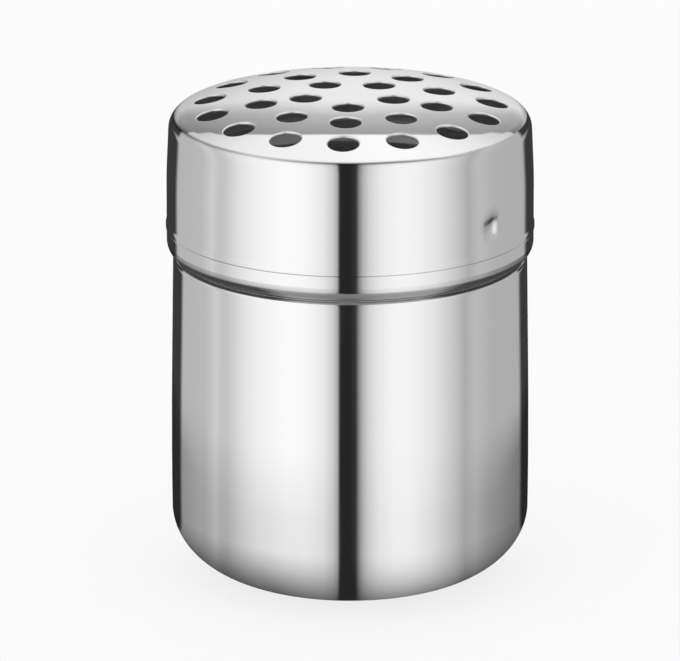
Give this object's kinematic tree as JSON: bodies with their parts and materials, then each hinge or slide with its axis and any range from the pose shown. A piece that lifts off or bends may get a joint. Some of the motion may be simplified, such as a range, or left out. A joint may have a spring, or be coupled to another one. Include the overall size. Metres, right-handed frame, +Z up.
{
  "type": "spice shaker",
  "caption": "Polished steel kitchen shaker: a drawn cup with a rolled stop bead and a domed, perforated lid that lifts off its bayonet neck.",
  "frame": {"origin": "centre of the flat disc that the container stands on", "axes": "+Z up along the axis of the container and the lid; -Y is the front; +X is to the right seen from the front"},
  "size_m": [0.0706, 0.0706, 0.095],
  "materials": {
    "container_steel": "mirror-polished stainless sheet outside, satin inside",
    "lid_steel": "mirror-polished stainless sheet outside, satin inside"
  },
  "bodies": {
    "container": {"container": "container_steel"},
    "lid": {"lid": "lid_steel"}
  },
  "joints": [
    {"name": "lid_lift", "type": "slide", "parent": "container", "child": "lid", "axis": [0, 0, 1], "range_m": [0, 0.03]}
  ]
}
